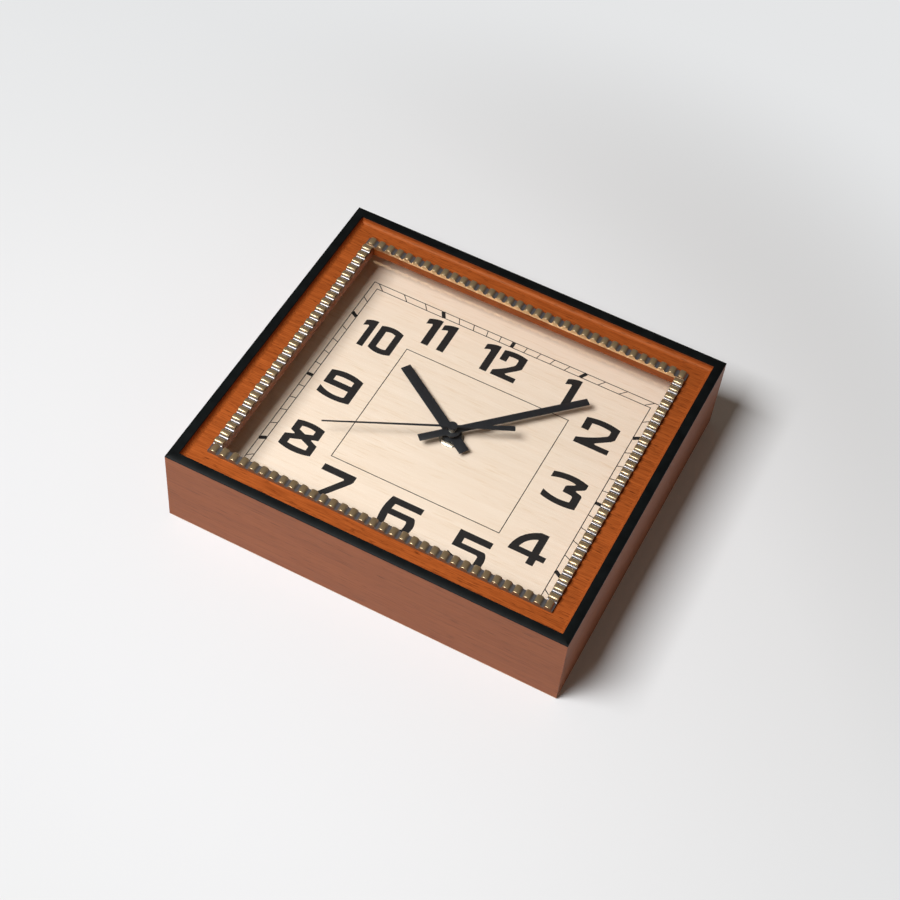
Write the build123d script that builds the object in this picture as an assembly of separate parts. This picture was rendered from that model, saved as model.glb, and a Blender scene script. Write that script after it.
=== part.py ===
from build123d import *
import math
import os

# Case, lying on its back: X to three o'clock, Y to twelve o'clock, Z out of the dial, in mm
case_width = 200.0
case_height = 180.0
case_depth = 45.0
board_thickness = 4.6
edging_thickness = 0.8
back_chamfer = 0.7

# Fascia, its window and the ribbed trim round it
fascia_recess = 3.6
fascia_thickness = 4.1
fascia_border_side = 13.8
fascia_border_end = 13.6
trim_width = 4.4
trim_height = 2.7
trim_nose = 0.5
rib_depth = 1.5
rib_pitch = 5.05
rib_crest_share = 0.34
rib_valley_share = 0.22

# Glass and the beads that hold it
glass_thickness = 2.0
glass_overlap = 8.0
bead_thickness = 2.2
bead_overlap = 2.0

# Dial board, battens and back panel
hand_room = 3.4
dial_thickness = 2.5
dial_clearance = 0.2
batten_width = 9.0
panel_recess = 1.0
panel_thickness = 2.5
panel_clearance = 0.3
panel_window_gap = 2.0
screw_head_radius = 2.8
screw_head_height = 0.9
screw_radius = 1.2
screw_length = 10.0
screw_clearance = 0.1
screw_corner_inset = 22.0

# Quartz movement housing
movement_wall = 1.2
movement_corner = 3.0
movement_front_wall = 1.1
movement_depth = 15.5
cover_thickness = 1.2
cover_clearance = 0.1
gasket_thickness = 0.5
gasket_radius = 12.0
bush_radius = 4.0
bush_rise = 1.8
bush_clearance = 0.1
washer_radius = 6.0
washer_thickness = 0.5
nut_across_flats = 10.0
nut_thickness = 1.5

# Battery bay
battery_radius = 7.1
battery_body = 49.3
battery_button_radius = 2.7
battery_button_length = 1.2
battery_wall_gap = 0.3
bay_wall = 0.9
wheel_room = 0.6
contact_room = 1.55
contact_thickness = 0.4
contact_width = 9.0
contact_stud_radius = 2.2

# Wheel train
tooth_addendum = 0.65
tooth_dedendum = 1.1
tooth_root_share = 0.26
tooth_tip_share = 0.105
wheel_thickness = 0.9
layer_gap = 0.55
first_layer_gap = 1.0
running_clearance = 0.05
end_gap = 0.15
rotor_teeth = 8
intermediate_teeth = 40
intermediate_pinion_teeth = 8
seconds_teeth = 48
seconds_pinion_teeth = 8
third_teeth = 60
third_pinion_teeth = 8
centre_teeth = 64
cannon_teeth = 15
motion_teeth = 45
motion_pinion_teeth = 12
hour_teeth = 48
setting_teeth = 15
rotor_module = 0.25
seconds_module = 0.3
third_module = 0.34
motion_module = 0.3
intermediate_angle = 60.0
rotor_angle = 30.0
third_angle = 150.0
motion_angle = 0.0
setting_angle = 0.0

# Posts, arbors and tubes
post_radius = 0.5
rotor_post_radius = 0.35
collar_radius = 1.1
rotor_collar_radius = 0.65
post_head_radius = 0.9
post_head_height = 0.4
arbor_radius = 0.7
minute_tube_radius = 1.6
hour_tube_radius = 2.5
flange_reach = 2.3
spindle_radius = 1.5
sleeve_wall = 1.0
sleeve_height = 4.0
socket_wall = 0.9
knob_radius = 5.5
knob_serrations = 18
knob_gap = 0.3
knob_thickness = 2.2

# Motor and circuit
magnet_radius = 2.5
magnet_height = 2.2
stator_gap = 0.7
stator_ring_wall = 1.0
stator_thickness = 0.8
stator_lift = 2.7
stator_bar_width = 3.2
leg_width = 3.0
leg_reach = 13.5
core_thickness = 1.0
core_width = 2.4
coil_wall_gap = 1.7
coil_radius = 3.2
bobbin_wall = 0.5
flange_thickness = 0.8
flange_radius = 3.6
pillar_radius = 0.9
circuit_width = 17.0
circuit_height = 8.2
circuit_thickness = 0.8
circuit_wall_gap = 1.0
crystal_radius = 1.0
crystal_length = 6.0
chip_size = 4.0
chip_height = 1.2

# Hands, set at the time in the photograph
hour_angle = 303.5
minute_angle = 45.2
second_angle = 242.8
hand_thickness = 0.5
hour_hand_height = 2.9
hour_hand_length = 45.6
hour_hand_tail = 11.9
hour_hand_width = 5.2
hour_boss_radius = 4.8
hour_collet_radius = 3.4
hour_collet_height = 0.35
minute_hand_height = 5.4
minute_hand_length = 68.5
minute_hand_tail = 16.5
minute_hand_width = 3.8
minute_boss_radius = 3.9
minute_collet_radius = 2.6
minute_collet_height = 1.2
second_hand_height = 8.9
second_hand_thickness = 0.4
second_hand_length = 61.3
second_hand_tail = 29.5
second_tip_width = 0.6
second_neck_width = 1.1
second_tail_width = 2.9
second_tail_corner = 0.6
second_cap_radius = 2.35
second_cap_height = 0.7
second_collet_radius = 1.9
second_collet_height = 2.0
tube_rise = 0.3

# Levels worked out from the sizes above
half_width = case_width / 2
half_height = case_height / 2
inner_half_width = half_width - board_thickness
inner_half_height = half_height - board_thickness
window_half_width = inner_half_width - fascia_border_side
window_half_height = inner_half_height - fascia_border_end
board_top = case_depth - edging_thickness
fascia_front = case_depth - fascia_recess
fascia_back = fascia_front - fascia_thickness
glass_back = fascia_back - glass_thickness
bead_back = glass_back - bead_thickness
dial_front = glass_back - hand_room - second_cap_height - second_hand_height
dial_back = dial_front - dial_thickness
panel_front = panel_recess + panel_thickness
movement_front = dial_back - gasket_thickness
movement_back = movement_front - movement_depth
inside_front = movement_front - movement_front_wall
inside_back = movement_back + cover_thickness
layer_step = wheel_thickness + layer_gap
layer = [inside_back + first_layer_gap + step * layer_step for step in range(6)]
bush_top = dial_front + washer_thickness + bush_rise
washer_top = dial_front + washer_thickness
battery_level = inside_front - battery_wall_gap / 2 - battery_radius
battery_end = (battery_body + battery_button_length) / 2
hour_hand_back = dial_front + hour_hand_height
minute_hand_back = dial_front + minute_hand_height
second_hand_back = dial_front + second_hand_height
third_distance = third_module * (seconds_pinion_teeth + third_teeth) / 2
centre_module = 2 * third_distance / (third_pinion_teeth + centre_teeth)
seconds_distance = seconds_module * (intermediate_pinion_teeth + seconds_teeth) / 2
rotor_distance = rotor_module * (rotor_teeth + intermediate_teeth) / 2
motion_distance = motion_module * (cannon_teeth + motion_teeth) / 2
hour_module = 2 * motion_distance / (motion_pinion_teeth + hour_teeth)
setting_distance = motion_module * (setting_teeth + motion_teeth) / 2
centre_wheel_reach = centre_module * (centre_teeth / 2 + tooth_addendum)
bay_edge = -centre_wheel_reach - wheel_room - bay_wall
battery_row = bay_edge - battery_wall_gap - battery_radius
bay_half_width = battery_end + contact_room
bay_half_height = battery_radius + battery_wall_gap - battery_row
movement_half_width = bay_half_width + movement_wall
movement_half_height = bay_half_height + movement_wall
coil_row = bay_half_height - coil_wall_gap - flange_radius
circuit_left = circuit_wall_gap - bay_half_width
circuit_top = bay_half_height - circuit_wall_gap


def block(left, right, bottom, top, back, front):
    middle = Pos((left + right) / 2, (bottom + top) / 2, (back + front) / 2)
    return middle * Box(right - left, top - bottom, front - back)


def slab(half_x, half_y, back, front):
    return block(-half_x, half_x, -half_y, half_y, back, front)


def rod(place, radius, back, front):
    return Pos(place[0], place[1], (back + front) / 2) * Cylinder(radius, front - back)


def tube(place, outer, inner, back, front):
    return rod(place, outer, back, front) - rod(place, inner, back, front)


def plate(points, back, front):
    outline = Face(Wire.make_polygon([Vector(x, y, back) for x, y in points]))
    return extrude(outline, amount=front - back, dir=(0, 0, 1))


def away(place, angle, distance):
    turn = math.radians(angle)
    return (place[0] + distance * math.cos(turn), place[1] + distance * math.sin(turn))


def frame_side(side, outer_x, outer_y, width, back, front):
    # One mitred side of a rectangular frame
    inner_x = outer_x - width
    inner_y = outer_y - width
    points = {
        "top": [(-outer_x, outer_y), (-inner_x, inner_y), (inner_x, inner_y), (outer_x, outer_y)],
        "bottom": [(-outer_x, -outer_y), (outer_x, -outer_y), (inner_x, -inner_y), (-inner_x, -inner_y)],
        "left": [(-outer_x, outer_y), (-outer_x, -outer_y), (-inner_x, -inner_y), (-inner_x, inner_y)],
        "right": [(outer_x, outer_y), (inner_x, inner_y), (inner_x, -inner_y), (outer_x, -outer_y)],
    }
    return plate(points[side], back, front)


def gear(place, teeth, module, phase, back, front):
    # Spur wheel with straight-sided teeth; one tooth is centred on the phase angle
    pitch_radius = teeth * module / 2
    root = pitch_radius - tooth_dedendum * module
    tip = pitch_radius + tooth_addendum * module
    pitch = 360 / teeth
    points = []
    for tooth in range(teeth):
        middle = phase + tooth * pitch
        points.append(away(place, middle - tooth_root_share * pitch, root))
        points.append(away(place, middle - tooth_tip_share * pitch, tip))
        points.append(away(place, middle + tooth_tip_share * pitch, tip))
        points.append(away(place, middle + tooth_root_share * pitch, root))
    return plate(points, back, front)


def meshing(direction, teeth, phase, other_teeth):
    # Phase of the other wheel that puts its gap over this wheel's tooth along the line of centres
    share = ((direction - phase) * teeth / 360) % 1
    return direction + 180 + (share + 0.5) * 360 / other_teeth


# Case boards, each with its rear outer edge broken
sides = ("top", "bottom", "left", "right")
outward = {"top": (0, 1), "bottom": (0, -1), "left": (-1, 0), "right": (1, 0)}
nodes = {}
for side in sides:
    board = frame_side(side, half_width, half_height, board_thickness, 0, board_top)
    rear_edges = board.edges().filter_by(Plane.XY).group_by(Axis.Z)[0]
    along = Axis((0, 0, 0), (*outward[side], 0))
    board = chamfer(rear_edges.sort_by(along)[-1], back_chamfer)
    nodes["case_" + side] = board
    edging = frame_side(side, half_width, half_height, board_thickness, board_top, case_depth)
    nodes["edging_" + side] = edging

# Fascia: one board with the window cut through it
fascia = slab(inner_half_width, inner_half_height, fascia_back, fascia_front)
window = slab(window_half_width, window_half_height, fascia_back, fascia_front)
nodes["fascia"] = fascia - window


def trim_strip(length):
    # Ribbed strip along X: an even wave from end to end, cut to a rail with broken upper edges
    ribs = round(length / rib_pitch)
    pitch = length / ribs
    half = trim_width / 2
    start = -length / 2
    valley = trim_height - rib_depth
    wave = [(start, 0), (start, valley)]
    for rib in range(ribs):
        place = start + rib * pitch
        wave.append((place + pitch * rib_valley_share / 2, valley))
        wave.append((place + pitch * (1 - rib_crest_share) / 2, trim_height))
        wave.append((place + pitch * (1 + rib_crest_share) / 2, trim_height))
        wave.append((place + pitch * (1 - rib_valley_share / 2), valley))
    wave += [(-start, valley), (-start, 0)]
    side = Face(Wire.make_polygon([Vector(x, -half, z) for x, z in wave]))
    crest_half = half - trim_nose
    shoulder = trim_height - trim_nose
    rail = [(-half, 0), (-half, shoulder), (-crest_half, trim_height)]
    rail += [(crest_half, trim_height), (half, shoulder), (half, 0)]
    end = Face(Wire.make_polygon([Vector(start, y, z) for y, z in rail]))
    return extrude(side, amount=trim_width, dir=(0, 1, 0)) & extrude(end, amount=length, dir=(1, 0, 0))


# Trim: the top and bottom strips run full width, the side strips fit between them
trim_row = window_half_height + trim_width / 2
trim_column = window_half_width + trim_width / 2
long_strip = trim_strip(2 * (window_half_width + trim_width))
short_strip = trim_strip(2 * window_half_height)
nodes["trim_top"] = Pos(0, trim_row, fascia_front) * long_strip
nodes["trim_bottom"] = Pos(0, -trim_row, fascia_front) * long_strip
nodes["trim_left"] = Pos(-trim_column, 0, fascia_front) * Rot(0, 0, 90) * short_strip
nodes["trim_right"] = Pos(trim_column, 0, fascia_front) * Rot(0, 0, 90) * short_strip

# Glass pane and the beads glued to the boards behind its rim
glass_x = window_half_width + glass_overlap
glass_y = window_half_height + glass_overlap
nodes["glass"] = slab(glass_x, glass_y, glass_back, fascia_back)
bead_width = max(inner_half_width - glass_x, inner_half_height - glass_y) + bead_overlap
for side in sides:
    bead = frame_side(side, inner_half_width, inner_half_height, bead_width, bead_back, glass_back)
    nodes["bead_" + side] = bead

# Dial board
dial_x = inner_half_width - dial_clearance
dial_y = inner_half_height - dial_clearance
dial = slab(dial_x, dial_y, dial_back, dial_front)
nodes["dial_board"] = dial - rod((0, 0), bush_radius + bush_clearance, dial_back, dial_front)

# Battens behind the dial, back panel with the movement window, screws
screw_places = []
for sign_x in (-1, 1):
    for sign_y in (-1, 1):
        row = sign_y * (inner_half_height - batten_width / 2)
        screw_places.append((sign_x * (inner_half_width - screw_corner_inset), row))
screw_tip = panel_recess + screw_length
screw_hole = screw_radius + screw_clearance
screw_holes = [rod(place, screw_hole, panel_recess, screw_tip) for place in screw_places]
for side in sides:
    batten = frame_side(side, inner_half_width, inner_half_height, batten_width, panel_front, dial_back)
    nodes["batten_" + side] = batten
for side in ("top", "bottom"):
    nodes["batten_" + side] = nodes["batten_" + side] - screw_holes
panel_x = inner_half_width - panel_clearance
panel_y = inner_half_height - panel_clearance
panel = slab(panel_x, panel_y, panel_recess, panel_front)
opening_x = movement_half_width + panel_window_gap
opening_y = movement_half_height + panel_window_gap
opening = slab(opening_x, opening_y, panel_recess, panel_front)
nodes["back_panel"] = panel - opening - screw_holes
screws = []
for place in screw_places:
    head = rod(place, screw_head_radius, panel_recess - screw_head_height, panel_recess)
    screws.append(head + rod(place, screw_radius, panel_recess, screw_tip))
nodes["panel_screws"] = Compound(screws)

# Wheel centres
centre = (0.0, 0.0)
intermediate_place = away(centre, intermediate_angle, seconds_distance)
rotor_place = away(intermediate_place, rotor_angle, rotor_distance)
third_place = away(centre, third_angle, third_distance)
motion_place = away(centre, motion_angle, motion_distance)
setting_place = away(motion_place, setting_angle, setting_distance)

# Movement case: front wall, side walls, battery bay wall, threaded bush and motion wheel post
housing = slab(movement_half_width, movement_half_height, movement_back, movement_front)
housing = fillet(housing.edges().filter_by(Axis.Z), movement_corner)
pocket = slab(bay_half_width, bay_half_height, movement_back, inside_front)
pocket_corner = movement_corner - movement_wall
housing -= fillet(pocket.edges().filter_by(Axis.Z), pocket_corner)
bay_top = bay_edge + bay_wall
housing += block(-bay_half_width, bay_half_width, bay_edge, bay_top, inside_back, inside_front)
housing += rod(centre, bush_radius, inside_front, bush_top)
housing -= rod(centre, hour_tube_radius + running_clearance, inside_front, bush_top)
motion_pinion_top = layer[5] + wheel_thickness + end_gap
motion_post_foot = layer[4] - end_gap - post_head_height
housing += rod(motion_place, collar_radius, motion_pinion_top + end_gap, inside_front)
housing += rod(motion_place, post_radius, motion_post_foot, inside_front)
housing += rod(motion_place, post_head_radius, motion_post_foot, layer[4] - end_gap)
nodes["movement_case"] = housing

# Rear cover with the posts that the train turns on
cover_x = bay_half_width - cover_clearance
cover_y = bay_half_height - cover_clearance
cover = block(-cover_x, cover_x, bay_edge, cover_y, movement_back, inside_back)
upper_corners = cover.edges().filter_by(Axis.Z).group_by(Axis.Y)[-1]
cover = fillet(upper_corners, pocket_corner)
spindle_hole = spindle_radius + running_clearance
cover += rod(setting_place, spindle_hole + sleeve_wall, inside_back, inside_back + sleeve_height)
cover -= rod(setting_place, spindle_hole, movement_back, inside_back + sleeve_height)
arbor_hole = arbor_radius + running_clearance
socket_top = layer[1] - end_gap
cover += tube(centre, arbor_hole + socket_wall, arbor_hole, inside_back, socket_top)
intermediate_top = layer[1] + wheel_thickness + end_gap
cover += rod(intermediate_place, collar_radius, inside_back, layer[0] - end_gap)
cover += rod(intermediate_place, post_radius, inside_back, intermediate_top + end_gap)
third_top = layer[3] + wheel_thickness + end_gap
cover += rod(third_place, collar_radius, inside_back, layer[2] - end_gap)
cover += rod(third_place, post_radius, inside_back, third_top + end_gap)
magnet_back = layer[0] + wheel_thickness + end_gap
magnet_top = magnet_back + magnet_height
cover += rod(rotor_place, rotor_collar_radius, inside_back, layer[0] - end_gap)
cover += rod(rotor_place, rotor_post_radius, inside_back, magnet_top + end_gap)
stator_back = inside_back + stator_lift
leg_middle = (rotor_place[1] + coil_row) / 2
leg_left = rotor_place[0] - leg_reach
leg_right = rotor_place[0] + leg_reach
left_leg = (leg_left + leg_width / 2, leg_middle)
right_leg = (leg_right - leg_width / 2, leg_middle)
cover += rod(left_leg, pillar_radius, inside_back, stator_back)
cover += rod(right_leg, pillar_radius, inside_back, stator_back)
circuit_middle = circuit_top - circuit_height / 2
circuit_ends = (circuit_left + 2 * pillar_radius, circuit_left + circuit_width - 2 * pillar_radius)
for end in circuit_ends:
    cover += rod((end, circuit_middle), pillar_radius, inside_back, stator_back)
nodes["movement_cover"] = cover

# Gasket, washer and hexagon nut on the threaded bush
bush_hole = bush_radius + bush_clearance
nodes["gasket"] = tube(centre, gasket_radius, bush_hole, movement_front, dial_back)
nodes["washer"] = tube(centre, washer_radius, bush_hole, dial_front, washer_top)
nut_corner = nut_across_flats / 2 / math.cos(math.pi / 6)
nut_top = washer_top + nut_thickness
nut_outline = [away(centre, 60 * corner, nut_corner) for corner in range(6)]
nut = plate(nut_outline, washer_top, nut_top)
nodes["nut"] = nut - rod(centre, bush_hole, washer_top, nut_top)

# Battery along X, positive end to three o'clock, with its two contacts
battery_start = -battery_end
battery = Pos(battery_start + battery_body / 2, battery_row, battery_level) * Rot(0, 90, 0)
button_middle = battery_end - battery_button_length / 2
button = Pos(button_middle, battery_row, battery_level) * Rot(0, 90, 0)
cell = battery * Cylinder(battery_radius, battery_body)
nodes["battery"] = cell + button * Cylinder(battery_button_radius, battery_button_length)
for name, sign in (("contact_negative", -1), ("contact_positive", 1)):
    leaf_x = sign * (bay_half_width - contact_thickness / 2)
    leaf = Pos(leaf_x, battery_row, battery_level) * Box(contact_thickness, contact_width, contact_width)
    stud_length = contact_room - contact_thickness
    stud_x = sign * (battery_end + stud_length / 2)
    stud = Pos(stud_x, battery_row, battery_level) * Rot(0, 90, 0)
    nodes[name] = leaf + stud * Cylinder(contact_stud_radius, stud_length)

# Stepping motor: stator with the rotor hole, core, bobbin and winding
stator_front = stator_back + stator_thickness
bar_bottom = rotor_place[1] - stator_bar_width / 2
bar_top = bar_bottom + stator_bar_width
leg_end = coil_row + core_width / 2
rotor_hole = magnet_radius + stator_gap
stator = rod(rotor_place, rotor_hole + stator_ring_wall, stator_back, stator_front)
stator += block(rotor_place[0], leg_right, bar_bottom, bar_top, stator_back, stator_front)
stator += block(leg_left, rotor_place[0], bar_bottom, bar_top, stator_back, stator_front)
stator += block(leg_left, leg_left + leg_width, bar_bottom, leg_end, stator_back, stator_front)
stator += block(leg_right - leg_width, leg_right, bar_bottom, leg_end, stator_back, stator_front)
nodes["stator"] = stator - rod(rotor_place, rotor_hole, stator_back, stator_front)
core_front = stator_front + core_thickness
core_bottom = coil_row - core_width / 2
nodes["motor_core"] = block(leg_left, leg_right, core_bottom, leg_end, stator_front, core_front)
coil_left = leg_left + leg_width
coil_right = leg_right - leg_width
coil_level = (stator_front + core_front) / 2
sleeve_radius = math.hypot(core_width / 2, core_thickness / 2) + bobbin_wall


def coil_part(radius, start, end):
    return Pos((start + end) / 2, coil_row, coil_level) * Rot(0, 90, 0) * Cylinder(radius, end - start)


bobbin = coil_part(sleeve_radius, coil_left, coil_right)
bobbin += coil_part(flange_radius, coil_left, coil_left + flange_thickness)
bobbin += coil_part(flange_radius, coil_right - flange_thickness, coil_right)
nodes["coil_bobbin"] = bobbin - nodes["motor_core"]
winding_left = coil_left + flange_thickness
winding_right = coil_right - flange_thickness
winding = coil_part(coil_radius, winding_left, winding_right)
nodes["coil_winding"] = winding - coil_part(sleeve_radius, winding_left, winding_right)

# Circuit board with the timing crystal and the sealed chip
circuit_right = circuit_left + circuit_width
circuit_bottom = circuit_top - circuit_height
circuit_front = stator_back + circuit_thickness
circuit = block(circuit_left, circuit_right, circuit_bottom, circuit_top, stator_back, circuit_front)
nodes["circuit_board"] = circuit
crystal_start = circuit_left + chip_size
crystal_place = (crystal_start + crystal_length / 2, circuit_middle, circuit_front + crystal_radius)
nodes["crystal"] = Pos(*crystal_place) * Rot(0, 90, 0) * Cylinder(crystal_radius, crystal_length)
chip_right = circuit_right - crystal_radius
chip_bottom = circuit_middle - chip_size / 2
chip_left = chip_right - chip_size
chip_top = chip_bottom + chip_size
chip_front = circuit_front + chip_height
nodes["chip"] = block(chip_left, chip_right, chip_bottom, chip_top, circuit_front, chip_front)

# Rotor: pinion on its post and the magnet above it
rotor_bore = rotor_post_radius + running_clearance
rotor_to_intermediate = rotor_angle + 180
rotor = gear(rotor_place, rotor_teeth, rotor_module, rotor_to_intermediate, layer[0], magnet_back)
nodes["rotor_pinion"] = rotor - rod(rotor_place, rotor_bore, layer[0], magnet_back)
nodes["rotor_magnet"] = tube(rotor_place, magnet_radius, rotor_bore, magnet_back, magnet_top)

# Intermediate wheel with its pinion
wheel_bore = post_radius + running_clearance
phase = meshing(rotor_to_intermediate, rotor_teeth, rotor_to_intermediate, intermediate_teeth)
place = intermediate_place
wheel = gear(place, intermediate_teeth, rotor_module, phase, layer[0], layer[0] + wheel_thickness)
pinion_phase = intermediate_angle + 180
pinion_teeth = intermediate_pinion_teeth
wheel += gear(place, pinion_teeth, seconds_module, pinion_phase, layer[0], intermediate_top)
nodes["intermediate_wheel"] = wheel - rod(place, wheel_bore, layer[0], intermediate_top)

# Seconds wheel and pinion on the long arbor
phase = meshing(pinion_phase, pinion_teeth, pinion_phase, seconds_teeth)
arbor_top = second_hand_back + second_hand_thickness
seconds = rod(centre, arbor_radius, inside_back + end_gap, arbor_top)
seconds += gear(centre, seconds_teeth, seconds_module, phase, layer[1], layer[1] + wheel_thickness)
seconds_top = layer[2] + wheel_thickness + end_gap
seconds += gear(centre, seconds_pinion_teeth, third_module, third_angle, layer[1], seconds_top)
nodes["seconds_wheel"] = seconds

# Third wheel and pinion
phase = meshing(third_angle, seconds_pinion_teeth, third_angle, third_teeth)
third = gear(third_place, third_teeth, third_module, phase, layer[2], layer[2] + wheel_thickness)
pinion_phase = third_angle + 180
third += gear(third_place, third_pinion_teeth, centre_module, pinion_phase, layer[2], third_top)
nodes["third_wheel"] = third - rod(third_place, wheel_bore, layer[2], third_top)

# Centre wheel, which slips on the minute tube when the hands are set
phase = meshing(pinion_phase, third_pinion_teeth, pinion_phase, centre_teeth)
centre_top = layer[3] + wheel_thickness
centre_wheel = gear(centre, centre_teeth, centre_module, phase, layer[3], centre_top)
minute_bore = minute_tube_radius + running_clearance
nodes["centre_wheel"] = centre_wheel - rod(centre, minute_bore, layer[3], centre_top)

# Cannon pinion on the minute tube, with the flange that carries the centre wheel
tube_foot = seconds_top + end_gap
minute_tube_top = minute_hand_back + hand_thickness + tube_rise
cannon_top = layer[4] + wheel_thickness + end_gap
minutes = rod(centre, minute_tube_radius, tube_foot, minute_tube_top)
minutes += rod(centre, flange_reach, tube_foot, layer[3] - running_clearance)
cannon_foot = centre_top + running_clearance
minutes += gear(centre, cannon_teeth, motion_module, motion_angle, cannon_foot, cannon_top)
nodes["cannon_pinion"] = minutes - rod(centre, arbor_hole, tube_foot, minute_tube_top)

# Motion wheel and pinion
phase = meshing(motion_angle, cannon_teeth, motion_angle, motion_teeth)
motion = gear(motion_place, motion_teeth, motion_module, phase, layer[4], layer[4] + wheel_thickness)
pinion_phase = motion_angle + 180
motion += gear(motion_place, motion_pinion_teeth, hour_module, pinion_phase, layer[4], motion_pinion_top)
nodes["motion_wheel"] = motion - rod(motion_place, wheel_bore, layer[4], motion_pinion_top)
setting_phase = meshing(setting_angle, motion_teeth, phase, setting_teeth)

# Hour wheel and tube
phase = meshing(pinion_phase, motion_pinion_teeth, pinion_phase, hour_teeth)
hour_tube_top = hour_hand_back + hand_thickness + tube_rise
hours = gear(centre, hour_teeth, hour_module, phase, layer[5], layer[5] + wheel_thickness)
hours += rod(centre, hour_tube_radius, layer[5], hour_tube_top)
nodes["hour_wheel"] = hours - rod(centre, minute_bore, layer[5], hour_tube_top)

# Setting knob, its spindle and the pinion that turns the motion wheel
knob_front = movement_back - knob_gap
knob_back = knob_front - knob_thickness
knob_pitch = knob_radius / (knob_serrations / 2 + tooth_addendum)
knob = gear(setting_place, knob_serrations, knob_pitch, setting_angle, knob_back, knob_front)
knob += rod(setting_place, spindle_radius, knob_back, cannon_top)
setting_top = layer[4] + wheel_thickness
knob += gear(setting_place, setting_teeth, motion_module, setting_phase, layer[4], setting_top)
nodes["setting_knob"] = knob


def bar_hand(angle, length, tail, width, boss, hole, back):
    # Flat bar with a round boss, turned clockwise from twelve o'clock
    half = width / 2
    bar = block(-half, half, -tail, length, back, back + hand_thickness)
    bar += rod(centre, boss, back, back + hand_thickness)
    bar -= rod(centre, hole, back, back + hand_thickness)
    return Rot(0, 0, -angle) * bar


# Hour and minute hands, each with the collet that grips its tube
hour_collet_back = hour_hand_back - hour_collet_height
hour_hand = bar_hand(
    hour_angle,
    hour_hand_length,
    hour_hand_tail,
    hour_hand_width,
    hour_boss_radius,
    hour_tube_radius,
    hour_hand_back,
)
hour_collet = tube(centre, hour_collet_radius, hour_tube_radius, hour_collet_back, hour_hand_back)
nodes["hour_hand"] = hour_hand + hour_collet
minute_collet_back = minute_hand_back - minute_collet_height
minute_hand = bar_hand(
    minute_angle,
    minute_hand_length,
    minute_hand_tail,
    minute_hand_width,
    minute_boss_radius,
    minute_tube_radius,
    minute_hand_back,
)
minute_collet = tube(centre, minute_collet_radius, minute_tube_radius, minute_collet_back, minute_hand_back)
nodes["minute_hand"] = minute_hand + minute_collet

# Second hand: needle, counterweight tail that widens to a blunt end, cap and bright collet
second_front = second_hand_back + second_hand_thickness
tail_shoulder = second_hand_tail - second_tail_corner
tail_end_half = second_tail_width / 2 - second_tail_corner
needle = plate(
    [
        (-second_tip_width / 2, second_hand_length),
        (-second_neck_width / 2, 0),
        (-second_tail_width / 2, -tail_shoulder),
        (-tail_end_half, -second_hand_tail),
        (tail_end_half, -second_hand_tail),
        (second_tail_width / 2, -tail_shoulder),
        (second_neck_width / 2, 0),
        (second_tip_width / 2, second_hand_length),
    ],
    second_hand_back,
    second_front,
)
needle += rod(centre, second_cap_radius, second_hand_back, second_hand_back + second_cap_height)
needle -= rod(centre, arbor_radius, second_hand_back, second_front)
nodes["second_hand"] = Rot(0, 0, -second_angle) * needle
collet_back = second_hand_back - second_collet_height
nodes["second_collet"] = tube(centre, second_collet_radius, arbor_radius, collet_back, second_hand_back)

os.makedirs("parts", exist_ok=True)
for name, shape in nodes.items():
    shape.label = name
    export_step(shape, "parts/" + name + ".step")
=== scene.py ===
import math
import bpy
from mathutils import Matrix, Vector


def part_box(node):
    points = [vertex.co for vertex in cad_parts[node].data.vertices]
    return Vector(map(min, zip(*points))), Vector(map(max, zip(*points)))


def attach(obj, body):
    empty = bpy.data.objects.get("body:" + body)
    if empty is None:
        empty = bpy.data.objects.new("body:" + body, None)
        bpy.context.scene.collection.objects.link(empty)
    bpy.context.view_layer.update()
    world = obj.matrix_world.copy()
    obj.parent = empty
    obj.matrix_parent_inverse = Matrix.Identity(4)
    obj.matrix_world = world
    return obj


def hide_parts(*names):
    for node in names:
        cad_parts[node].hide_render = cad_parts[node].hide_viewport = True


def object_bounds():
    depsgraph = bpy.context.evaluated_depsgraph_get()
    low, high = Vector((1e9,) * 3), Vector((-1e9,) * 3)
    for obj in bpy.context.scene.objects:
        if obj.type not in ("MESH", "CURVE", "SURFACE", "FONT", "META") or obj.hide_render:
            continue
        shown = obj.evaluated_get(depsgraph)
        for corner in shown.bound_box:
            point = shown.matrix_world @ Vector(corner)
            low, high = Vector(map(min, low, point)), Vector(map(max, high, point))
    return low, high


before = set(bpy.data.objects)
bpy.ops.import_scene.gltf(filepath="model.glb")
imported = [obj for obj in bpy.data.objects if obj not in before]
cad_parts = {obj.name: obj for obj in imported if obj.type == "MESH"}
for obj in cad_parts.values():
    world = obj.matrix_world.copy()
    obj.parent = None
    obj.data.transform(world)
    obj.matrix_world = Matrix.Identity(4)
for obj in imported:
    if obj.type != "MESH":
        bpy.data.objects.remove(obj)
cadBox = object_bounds()
mm = 0.001
touch = 0.1  # in mm: what is nearer than this lies on the same face
tiny = 0.01  # in mm: what is nearer than this is in the same place
squarely = 0.9  # a face looks along an axis when its normal has more than this on it
scene = bpy.context.scene
scene.view_settings.view_transform = "Standard"
print("frame loaded,", len(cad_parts), "nodes")


# small tools

def hexToLinear(code):
    parts = [int(code[i:i + 2], 16) / 255 for i in (1, 3, 5)]
    return tuple(c / 12.92 if c <= 0.04045 else ((c + 0.055) / 1.055) ** 2.4 for c in parts) + (1.0,)


def addNode(tree, kind, values=None, links=None, **settings):
    node = tree.nodes.new("ShaderNode" + kind)
    for name, value in settings.items():
        setattr(node, name, value)
    for socket, value in (values or {}).items():
        node.inputs[socket].default_value = value
    for socket, source in (links or {}).items():
        tree.links.new(source, node.inputs[socket])
    return node


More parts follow.
